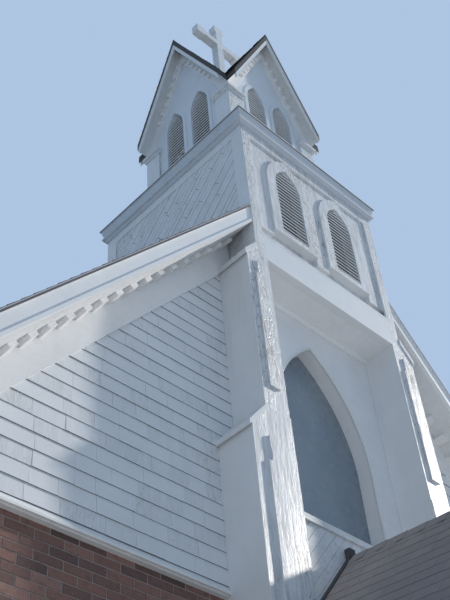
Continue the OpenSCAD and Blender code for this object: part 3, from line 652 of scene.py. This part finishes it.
ROOF_TONES = ((0.20, 0.178, 0.175), (0.33, 0.29, 0.28))
PORCH_TONES = ((0.235, 0.212, 0.21), (0.275, 0.245, 0.24))
BELFRY_TONES = ((0.045, 0.044, 0.048), (0.10, 0.096, 0.095))
ROOF_STREAK = (14, 60, 14)
BELFRY_STREAK = (40, 40, 14)
roof_shingles = roof_material("nave shingles", *ROOF_TONES, ROOF_STREAK, worn=0.35)
porch_shingles = roof_material("porch shingles", *PORCH_TONES, ROOF_STREAK, worn=0.25,
                               butt_shade=0.75)
belfry_shingles = roof_material("belfry shingles", *BELFRY_TONES, BELFRY_STREAK, worn=0.2)
nave_body = roof_body_material("nave roof's body", *ROOF_TONES, ROOF_STREAK,
                               edge=(ridge_z, slope))
porch_body = roof_body_material("porch roof's body", *ROOF_TONES, ROOF_STREAK)
belfry_body = roof_body_material("belfry roof's body", *BELFRY_TONES, BELFRY_STREAK)


def brick_colour(tree, tone, place):
    """Red and brown fired clay, with soot and pale specks."""
    ramp = node(tree, "ShaderNodeValToRGB", {"Fac": tone})
    stops = ((0.0, (0.105, 0.066, 0.062)), (0.3, (0.20, 0.108, 0.090)),
             (0.7, (0.265, 0.138, 0.110)), (1.0, (0.33, 0.195, 0.16)))
    for at, _ in stops[1:-1]:
        ramp.color_ramp.elements.new(at)
    for element, (at, colour) in zip(ramp.color_ramp.elements, stops):
        element.position = at
        element.color = rgb(*colour)
    clay = ramp.outputs["Color"]
    soot = mask(tree, noise(tree, place, 22.0, 5.0), 0.5, 0.75)
    clay = mix(tree, math_node(tree, "MULTIPLY", soot, 0.5), clay, rgb(0.07, 0.045, 0.045))
    speck = mask(tree, noise(tree, place, 130.0, 2.0), 0.63, 0.72)
    return mix(tree, math_node(tree, "MULTIPLY", speck, 0.5), clay, rgb(0.42, 0.33, 0.28))


def make_brick_material():
    material, tree, shader, place = new_material("fired bricks")
    tone = node(tree, "ShaderNodeAttribute", attribute_name="tone").outputs["Fac"]
    clay = brick_colour(tree, tone, place)
    height = noise(tree, place, 90.0, 5.0)
    rough = mask(tree, height, 0.3, 0.7, 0.8, 0.95)
    finish_material(tree, shader, clay, rough, height, 0.003, 0.7)
    return material


def make_wall_material():
    """Mortar and brick in step with the modelled bricks, for joints, reveals and inner faces."""
    material, tree, shader, place = new_material("brickwork and mortar")
    parts = node(tree, "ShaderNodeSeparateXYZ", {0: place}).outputs
    along = math_node(tree, "ADD", parts["X"], parts["Y"])
    flat = node(tree, "ShaderNodeCombineXYZ", {"X": along, "Y": parts["Z"]}).outputs[0]
    pattern = node(tree, "ShaderNodeTexBrick", {
        "Vector": flat, "Color1": rgb(0, 0, 0), "Color2": rgb(1, 1, 1), "Scale": 1.0,
        "Mortar Size": JOINT / 2, "Mortar Smooth": 0.1, "Brick Width": BRICK_LONG,
        "Row Height": BRICK_HIGH})
    clay = brick_colour(tree, pattern.outputs["Color"], place)
    sand = noise(tree, place, 70.0, 4.0)
    mortar = mix(tree, mask(tree, sand, 0.35, 0.65), rgb(0.27, 0.23, 0.21), rgb(0.38, 0.33, 0.30))
    joint = pattern.outputs["Fac"]
    colour = mix(tree, joint, clay, mortar)
    height = math_node(tree, "SUBTRACT", math_node(tree, "MULTIPLY", sand, 0.4), joint)
    rough = mask(tree, sand, 0.3, 0.7, 0.85, 0.95)
    finish_material(tree, shader, colour, rough, height, 0.003, 0.7)
    return material


def make_concrete_material():
    material, tree, shader, place = new_material("worn concrete")
    cloud = noise(tree, place, 2.5, 6.0)
    grit = noise(tree, place, 150.0, 3.0)
    colour = mix(tree, mask(tree, cloud, 0.3, 0.7), rgb(0.30, 0.29, 0.27), rgb(0.45, 0.44, 0.41))
    colour = mix(tree, mask(tree, grit, 0.6, 0.75, 0.0, 0.5), colour, rgb(0.20, 0.19, 0.18))
    rough = mask(tree, grit, 0.3, 0.7, 0.75, 0.95)
    finish_material(tree, shader, colour, rough, grit, 0.002, 0.6)
    return material


def make_sheet_material():
    """Dark sheet on top, with a painted upright edge."""
    material, tree, shader, place = new_material("dark sheet")
    cloud = noise(tree, place, 4.0, 5.0)
    colour = mix(tree, mask(tree, cloud, 0.35, 0.7), rgb(0.055, 0.054, 0.055),
                 rgb(0.12, 0.115, 0.11))
    normal = node(tree, "ShaderNodeNewGeometry").outputs["Normal"]
    level = math_node(tree, "ABSOLUTE",
                      node(tree, "ShaderNodeSeparateXYZ", {0: normal}).outputs["Z"])
    colour = mix(tree, mask(tree, level, 0.2, 0.6, 1.0, 0.0), colour, rgb(0.55, 0.55, 0.56))
    rough = mask(tree, cloud, 0.3, 0.7, 0.45, 0.75)
    finish_material(tree, shader, colour, rough, noise(tree, place, 30.0), 0.002, 0.4)
    return material


def make_glass_material():
    """A plain blue-grey pane, a little uneven and dusty."""
    material, tree, shader, place = new_material("blue grey pane")
    wave = noise(tree, scaled(tree, place, (1.6, 1.6, 0.8)), 1.0, 2.0)
    colour = mix(tree, mask(tree, wave, 0.3, 0.7), rgb(0.165, 0.215, 0.27), rgb(0.235, 0.28, 0.32))
    dust = mask(tree, noise(tree, place, 14.0, 6.0), 0.5, 0.8, 0.0, 0.3)
    colour = mix(tree, dust, colour, rgb(0.36, 0.37, 0.37))
    rough = mask(tree, noise(tree, place, 5.0), 0.3, 0.7, 0.2, 0.34)
    shader.inputs["Coat Weight"].default_value = 0.2
    shader.inputs["Coat Roughness"].default_value = 0.15
    finish_material(tree, shader, colour, rough, noise(tree, place, 60.0, 3.0), 0.0005, 0.12)
    return material


bricks = make_brick_material()
brickwork = make_wall_material()
concrete = make_concrete_material()
dark_sheet = make_sheet_material()
pane = make_glass_material()

FINISHES = {
    brickwork: ("brick_front", "brick_side_left", "brick_side_right", "brick_back"),
    concrete: ("floor", "stoop"),
    nave_body: ("nave_roof",),
    porch_body: ("porch_roof",),
    belfry_body: ("belfry_roof",),
    dark_sheet: ("tower_deck",),
    pane: ("arch_glass", "side_glass"),
    smooth_paint: ("gable_front", "gable_back", "eave_boards", "pier_caps", "belfry_rakes"),
    belfry_shade_paint: ("belfry_walls", "belfry_casings"),
    sheltered_bounce_paint: ("recess_wall", "recess_soffit", "fascia_boards"),
    pier_paint: ("piers",),
    peeled_paint: ("pier_strips",),
    cornice_shade_paint: ("tower_cornice",),
    louvre_paint: ("lancet_louvres", "belfry_louvres"),
    soffit_paint: ("rake_friezes", "belfry_friezes", "water_table"),
    belt_paint: ("belt_board",),
    level_paint: ("window_sill", "porch_rakes", "belfry_caps", "cross"),
    board_paint: ("apron_panel",),
    gap_shade_paint: ("tower_sides",),
}
# every other board has the upright boards' paint
finish_of = {name: material for material, names in FINISHES.items() for name in names}
for name, piece in nodes.items():
    piece.data.materials.clear()
    piece.data.materials.append(finish_of.get(name, upright_paint))

# brickwork

window_spring = frame_high.z - WINDOW_HALF * math.sqrt(3)
window_mids = [brick_low.y + (back_y - brick_low.y) * (i + 0.5) / WINDOWS for i in range(WINDOWS)]


def side_spans(z, sign):
    """Stretches of a side wall between its pointed windows, along the face's own direction."""
    half = pointed_half(WINDOW_HALF, window_spring, frame_high.z, z) if z > frame_low.z else 0.0
    edges = [brick_low.y]
    if half:
        for mid in window_mids:
            edges += [mid - half, mid + half]
    edges.append(back_y)
    spans = [span for a, b in zip(edges[::2], edges[1::2]) for span in along_side(sign, a, b)]
    return spans if sign > 0 else spans[::-1]


def arch_ring(face, sign, rng):
    """A ring of bricks on end round each pointed window's head."""
    placed = []
    sweep = math.radians(60)
    radius = 2 * WINDOW_HALF
    count = round(radius * sweep / (BRICK_HIGH + 0.002))
    for mid in window_mids:
        for side in (-1, 1):
            for k in range(count):
                angle = sweep * (k + 0.5) / count
                u = sign * mid + side * (radius * math.cos(angle) - WINDOW_HALF)
                v = window_spring + radius * math.sin(angle)
                turn = angle if side > 0 else math.pi - angle
                place = face.place(u, v, BRICK_HIGH - JOINT, ARCH_BRICK_LONG,
                                   BRICK_PROUD * 1.7, turn=turn - math.pi / 2)
                placed.append((place, rng.random()))
    return placed


def lay_bricks():
    """Bricks on the four walls of the nave, beside the recess and round the side windows."""
    rng = random.Random(11)
    rows = int(brick_high.z / BRICK_HIGH)
    reach = half_nave + BRICK_PROUD
    front = Face((0, brick_low.y, 0), X, Z)
    placed = brick_field(front, rows, lambda z: [(-reach, -recess_half), (recess_half, reach)],
                         -brick_low.y, rng)
    copies("bricks_front", unit_brick, placed, bricks)
    back = Face((0, back_y, 0), -X, Z)
    placed = brick_field(back, rows, lambda z: [(-reach, reach)], back_y, rng)
    copies("bricks_back", unit_brick, placed, bricks)
    for label, sign in SIDES:
        side = Face((sign * half_nave, 0, 0), Y * sign, Z)
        placed = brick_field(side, rows, lambda z: side_spans(z, sign), -half_nave, rng)
        copies("bricks_" + label, unit_brick, placed, bricks)
        copies("arch_bricks_" + label, unit_brick, arch_ring(side, sign, rng), bricks)


# shingled gables


def rake_reach(z):
    """How far a course at height z may reach sideways, a little past the roof's underside."""
    return min(half_nave, (ridge_z - roof_rise - z) / slope + 0.05)


def pier_edge(z):
    """How far the piers and the tower reach sideways at height z."""
    if z < UPPER_SHOULDER:
        shoulder, outer, inner = LOWER_SHOULDER, lower_pier_x, upper_pier_x
    else:
        shoulder, outer, inner = UPPER_SHOULDER, upper_pier_x, tower_high.x
    return max(inner, outer - max(0.0, z - shoulder) / slope)


def front_gable_spans(v):
    """The gable's courses on both sides of the tower and its piers."""
    inner = pier_edge(gable_foot + v + GABLE_EXPOSURE)
    outer = rake_reach(gable_foot + v)
    return [(-outer, -inner), (inner, outer)] if outer > inner else []


def back_gable_spans(v):
    outer = rake_reach(gable_foot + v)
    return [(-outer, outer)]


def lay_gable_shingles():
    rng = random.Random(23)
    rows = int((ridge_z - gable_foot) / GABLE_EXPOSURE)
    under_roof = [(Vector((0, 0, ridge_z - roof_rise - 0.02)),
                   Vector((sign * math.sin(ROOF_PITCH), 0, math.cos(ROOF_PITCH))))
                  for _, sign in SIDES]
    gables = {"front": (Face((0, gable_y, gable_foot), X, Z), front_gable_spans),
              "back": (Face((0, gable_back_y, gable_foot), -X, Z), back_gable_spans)}
    for label, (face, spans) in gables.items():
        placed = shingle_field(face, rows, GABLE_EXPOSURE, spans, GABLE_WIDTHS, GABLE_BUTT, rng,
                               skew=0.0015, gaps=(0.0005, 0.003))
        copies("gable_shingles_" + label, unit_shingle, placed, shingle_paint,
               under_roof)


# roofs


def ridge_caps(start, end, pitch, wing, exposure, rng, lift=0.012):
    """Folded cap shingles along a ridge from start to end, each lapping the next one."""
    way = (end - start).normalized()
    across = way.cross(Z) * wing * math.cos(pitch)
    upright = Z * wing * math.sin(pitch)
    count = max(2, round((end - start).length / exposure))
    placed = []
    for k in range(count):
        matrix = Matrix((across, way * exposure * LAP, upright)).transposed().to_4x4()
        matrix.translation = start + (end - start) * (k / count) + Z * lift
        placed.append((matrix, rng.random()))
    return placed


def lay_nave_roof():
    """Shingles on both slopes, which end behind the tower, and caps along the ridge."""
    rng = random.Random(37)
    edge = roof_high.x - 0.017
    rows = int(edge / math.cos(ROOF_PITCH) / ROOF_EXPOSURE)

    def spans(v, sign):
        x = roof_high.x - (v + ROOF_EXPOSURE) * math.cos(ROOF_PITCH)
        start = roof_low.y + EDGE_GAP if x > tower_high.x else tower_high.y
        return along_side(sign, start, roof_high.y - EDGE_GAP)

    for label, sign in SIDES:
        side = slope_face(sign, edge, ridge_z, ROOF_PITCH)
        placed = shingle_field(side, rows, ROOF_EXPOSURE, lambda v: spans(v, sign), ROOF_WIDTHS,
                               ROOF_BUTT, rng)
        copies("roof_shingles_" + label, unit_shingle, placed, roof_shingles)
    caps = ridge_caps(Vector((0, roof_high.y - 0.2, ridge_z)),
                      Vector((0, tower_high.y - 0.02, ridge_z)), ROOF_PITCH, NAVE_CAP_WING,
                      ROOF_EXPOSURE, rng)
    copies("nave_ridge_caps", unit_cap, caps, roof_shingles)


porch_hinge = Vector((0, gable_y, PORCH_RIDGE))
porch_lean = (Matrix.Translation(porch_hinge) @ Matrix.Rotation(PORCH_LEAN, 4, "X")
              @ Matrix.Translation(-porch_hinge))


def porch_spans(v, sign):
    """From past the roof's front to the gable, the pier, the strip or the recess behind."""
    x = porch_high.x - (v + ROOF_EXPOSURE * 0.5) * math.cos(ROOF_PITCH)
    if x > lower_pier_x:
        wall = gable_y
    elif abs(x - LOWER_STRIP_X) < LOWER_STRIP_HALF + 0.02:
        wall = strips_y
    elif x > recess_half:
        wall = strips_y + LOWER_STRIP_THICK
    else:
        wall = gable_y - 0.021
    end = gable_y + (wall - gable_y - slope * x * math.sin(PORCH_LEAN)) / math.cos(PORCH_LEAN)
    return along_side(sign, porch_low.y - 0.4, end)


def lay_porch_roof():
    """Shingles and caps laid level, then leaned forwards and cut off at the roof's front."""
    rng = random.Random(41)
    edge = porch_high.x - 0.012
    rows = int(edge / math.cos(ROOF_PITCH) / ROOF_EXPOSURE)
    placed = []
    for _, sign in SIDES:
        placed += shingle_field(slope_face(sign, edge, PORCH_RIDGE, ROOF_PITCH), rows,
                                ROOF_EXPOSURE, lambda v: porch_spans(v, sign), ROOF_WIDTHS,
                                PORCH_BUTT, rng)
    caps = ridge_caps(Vector((0, porch_low.y - 0.3, PORCH_RIDGE)),
                      Vector((0, gable_y - 0.045, PORCH_RIDGE)), ROOF_PITCH, PORCH_CAP_WING,
                      PORCH_CAP_EXPOSURE, rng, lift=0.005)
    front_cut = [(Vector((0, porch_low.y + EDGE_GAP, 0)), -Y)]
    copies("porch_shingles", unit_shingle, [(porch_lean @ p, t) for p, t in placed],
           porch_shingles, front_cut)
    copies("porch_ridge_caps", unit_cap, [(porch_lean @ p, t) for p, t in caps],
           porch_shingles, front_cut)


def add_porch_flashing():
    """Dark strips on both slopes of the porch roof where it meets the wall, made near-black as
    painted shade along that junction, and a small rounded block over its ridge."""
    wide, thick = 0.04, 0.014
    wall, reach = gable_y - 0.029, recess_half - 0.003
    bm = bmesh.new()
    unit_block(bm, (-0.036, wall - 0.055, PORCH_RIDGE - 0.04), (0.036, wall, PORCH_RIDGE + 0.068))
    bmesh.ops.bevel(bm, geom=bm.edges[:], offset=0.006, segments=2, profile=0.5, affect="EDGES",
                    material=-1)
    for _, sign in SIDES:
        normal = porch_lean.to_3x3() @ Vector((sign * math.sin(ROOF_PITCH), 0,
                                               math.cos(ROOF_PITCH)))
        top, foot = (Vector((x, wall, porch_hinge.z
                             - (normal.x * x + normal.y * (wall - porch_hinge.y)) / normal.z))
                     for x in (0, sign * reach))
        down = foot - top
        across = down.normalized().cross(normal) * wide
        if across.y > 0:
            across = -across
        out = down.normalized().cross(across).normalized() * thick
        if out.z < 0:
            out = -out
        matrix = Matrix((down, across, out)).transposed().to_4x4()
        matrix.translation = (top + foot) / 2
        bmesh.ops.transform(bm, matrix=matrix, verts=unit_block(bm))
    bmesh.ops.recalc_face_normals(bm, faces=bm.faces[:])
    add_piece("porch_flashing", mesh_of(bm, "porch_flashing"), belfry_shingles)


def lay_belfry_roof():
    """Shingles from each gable's rakes to the valleys, and caps along the four ridges."""
    rng = random.Random(53)
    top, rake = bell_high.z, bell_high.x
    eave = bell_wall_x + 0.030
    edge = eave - 0.008
    rows = int(edge / math.cos(BELFRY_PITCH) / BELFRY_EXPOSURE)
    middle = (bell_low + bell_high) / 2

    def spans(v, sign):
        x = max(0.0, eave - (v + BELFRY_EXPOSURE) * math.cos(BELFRY_PITCH))
        return along_side(sign, EDGE_GAP - rake, 0.03 - x)

    placed, caps = [], []
    for quarter in range(4):
        hub = (Matrix.Translation((0, middle.y, 0))
               @ Matrix.Rotation(quarter * math.pi / 2, 4, "Z"))
        for _, sign in SIDES:
            field = shingle_field(slope_face(sign, edge, top, BELFRY_PITCH), rows,
                                  BELFRY_EXPOSURE, lambda v: spans(v, sign), BELFRY_WIDTHS,
                                  BELFRY_BUTT, rng)
            placed += [(hub @ p, t) for p, t in field]
        ridge = ridge_caps(Vector((0, 0.004 - rake, top)), Vector((0, -0.06, top)),
                           BELFRY_PITCH, BELFRY_CAP_WING, BELFRY_EXPOSURE, rng)
        caps += [(hub @ p, t) for p, t in ridge]
    copies("belfry_shingles", unit_shingle, placed, belfry_shingles)
    copies("belfry_ridge_caps", unit_cap, caps, belfry_shingles)


# diagonal boards and the arch's bead


def lay_tower_boards(rng):
    """Boards between the corner boards: before the gable's face, and behind it over the roof."""
    start, end = tower_low.y + CORNER_BOARD_WIDE, tower_high.y - CORNER_BOARD_WIDE
    top = tower_high.z - FRIEZE_HIGH
    parts = {"front": (start, gable_y, sides_low.z),
             "back": (gable_y, end, ridge_z - slope * tower_high.x)}
    for label, sign in SIDES:
        side = Face((sign * sides_high.x, start if sign > 0 else end, sides_low.z), Y * sign, Z)
        way = math.radians(135 if sign > 0 else 45)
        placed = diagonal_field(side, end - start, top - sides_low.z, TOWER_BOARD, way,
                                TOWER_BOARD_LENGTHS, TOWER_BOARD_THICK, rng, gap=0.006)
        for part, (near, far, foot) in parts.items():
            planes = [(Vector((0, near, 0)), -Y), (Vector((0, far, 0)), Y),
                      (Vector((0, 0, top)), Z), (Vector((0, 0, foot)), -Z)]
            copies("tower_boards_%s_%s" % (label, part), unit_block, placed, board_paint,
                   planes)


def lay_apron_boards(rng):
    """Boards under the arch window, along the roof's pitch."""
    low, high = box("apron_panel")
    placed = diagonal_field(Face(low, X, Z), high.x - low.x, high.z - low.z, APRON_BOARD,
                            ROOF_PITCH, APRON_BOARD_LENGTHS, APRON_BOARD_THICK, rng)
    planes = [(low, -X), (high, X), (high, Z), (low, -Z)]
    copies("apron_boards", unit_block, placed, board_paint, planes)


def add_arch_bead():
    """A round bead along the edge of the arch: one side drawn up and swung over, then mirrored."""
    half, foot = glass_high.x + 0.001, glass_low.z
    rise = glass_high.z + 0.002 - ARCH_SPRING
    radius = (half * half + rise * rise) / (2 * half)
    bm = bmesh.new()
    made = bmesh.ops.create_circle(bm, segments=10, radius=BEAD_RADIUS)["verts"]
    bmesh.ops.translate(bm, vec=(-half, gable_y, foot), verts=made)
    up = bmesh.ops.extrude_edge_only(bm, edges=bm.edges[:])["geom"]
    top = [g for g in up if isinstance(g, bmesh.types.BMVert)]
    bmesh.ops.translate(bm, vec=(0, 0, ARCH_SPRING - foot), verts=top)
    ring = [g for g in up if isinstance(g, bmesh.types.BMEdge) and all(v in top for v in g.verts)]
    bmesh.ops.spin(bm, geom=top + ring, cent=(radius - half, gable_y, ARCH_SPRING),
                   axis=(0, 1, 0), angle=math.atan2(rise, radius - half), steps=28)
    bmesh.ops.bisect_plane(bm, geom=bm.verts[:] + bm.edges[:] + bm.faces[:],
                           plane_co=(0, 0, 0), plane_no=(1, 0, 0), clear_outer=True)
    bmesh.ops.mirror(bm, geom=bm.verts[:] + bm.edges[:] + bm.faces[:], axis="X",
                     merge_dist=0.0005)
    bmesh.ops.holes_fill(bm, edges=bm.edges[:], sides=12)
    bmesh.ops.recalc_face_normals(bm, faces=bm.faces[:])
    mesh = mesh_of(bm, "arch_bead")
    for polygon in mesh.polygons:
        polygon.use_smooth = True
    add_piece("arch_bead", mesh, smooth_paint)


# stage, light and camera

FLOOR_REACH = 24
FLOOR_COLOUR = rgb(0.72, 0.69, 0.65)
SKY_LIGHT, SKY_STRENGTH = rgb(0.52, 0.73, 1.0), 0.48
BACKDROP = rgb(0.42, 0.56, 0.76)
SUN_WAY, SUN_STRENGTH, SUN_SPREAD = (-0.846, 0.215, -0.488), 3.65, 2.0
SUN_COLOUR = (1.0, 0.95, 0.88)
CAMERA_PLACE = (-5.68, -8.75, 1.6)
CAMERA_AZIMUTH, CAMERA_HEIGHT, CAMERA_ROLL = (math.radians(a) for a in (47.36, 44.83, -5.3))
LENS = 59.8


def make_stage():
    """A plain pale floor just under the ground line."""
    bm = bmesh.new()
    bmesh.ops.create_grid(bm, x_segments=1, y_segments=1, size=FLOOR_REACH)
    bmesh.ops.translate(bm, vec=(0, 0, -0.002), verts=bm.verts)
    mesh = mesh_of(bm, "plain_floor")
    floor = bpy.data.objects.new("plain_floor", mesh)
    bpy.context.scene.collection.objects.link(floor)
    material, _, shader, _ = new_material("plain floor")
    shader.inputs["Roughness"].default_value = 0.9
    shader.inputs["Base Color"].default_value = FLOOR_COLOUR
    mesh.materials.append(material)


def make_world():
    """An even pale light, and a pale blue backdrop for camera and mirror rays."""
    world = bpy.data.worlds.new("studio")
    world.use_nodes = True
    tree = world.node_tree
    tree.nodes.clear()
    path = node(tree, "ShaderNodeLightPath").outputs
    seen = math_node(tree, "MAXIMUM", path["Is Camera Ray"],
                     math_node(tree, "MAXIMUM", path["Is Glossy Ray"],
                               path["Is Transmission Ray"]))
    light = node(tree, "ShaderNodeBackground", {"Color": SKY_LIGHT, "Strength": SKY_STRENGTH})
    backdrop = node(tree, "ShaderNodeBackground", {"Color": BACKDROP, "Strength": 1.0})
    both = node(tree, "ShaderNodeMixShader", {0: seen, 1: light.outputs[0],
                                              2: backdrop.outputs[0]})
    node(tree, "ShaderNodeOutputWorld", {"Surface": both.outputs[0]})
    bpy.context.scene.world = world


def make_key_lamp():
    """One soft lamp from the right, a little in front and above."""
    lamp = bpy.data.lights.new("key", "SUN")
    lamp.energy = SUN_STRENGTH
    lamp.angle = math.radians(SUN_SPREAD)
    lamp.color = SUN_COLOUR
    holder = bpy.data.objects.new("key", lamp)
    holder.rotation_euler = Vector(SUN_WAY).to_track_quat("-Z", "Y").to_euler()
    bpy.context.scene.collection.objects.link(holder)


def make_camera():
    """Near the ground at the front left, looking steeply up at the tower, a little tilted."""
    level = math.cos(CAMERA_HEIGHT)
    forward = Vector((level * math.sin(CAMERA_AZIMUTH), level * math.cos(CAMERA_AZIMUTH),
                      math.sin(CAMERA_HEIGHT)))
    right = Vector((math.cos(CAMERA_AZIMUTH), -math.sin(CAMERA_AZIMUTH), 0))
    up = right.cross(forward)
    turned = right * math.cos(CAMERA_ROLL) + up * math.sin(CAMERA_ROLL)
    raised = up * math.cos(CAMERA_ROLL) - right * math.sin(CAMERA_ROLL)
    camera = bpy.data.cameras.new("camera")
    camera.sensor_width = 36
    camera.lens = LENS
    camera.clip_end = 300
    holder = bpy.data.objects.new("camera", camera)
    holder.matrix_world = Matrix((turned, raised, -forward)).transposed().to_4x4()
    holder.location = CAMERA_PLACE
    bpy.context.scene.collection.objects.link(holder)
    bpy.context.scene.camera = holder


lay_bricks()
lay_gable_shingles()
lay_nave_roof()
lay_porch_roof()
add_porch_flashing()
lay_belfry_roof()
board_draws = random.Random(61)
lay_tower_boards(board_draws)
lay_apron_boards(board_draws)
add_arch_bead()
make_stage()
make_world()
make_key_lamp()
make_camera()
bpy.context.scene.view_settings.view_transform = "Standard"
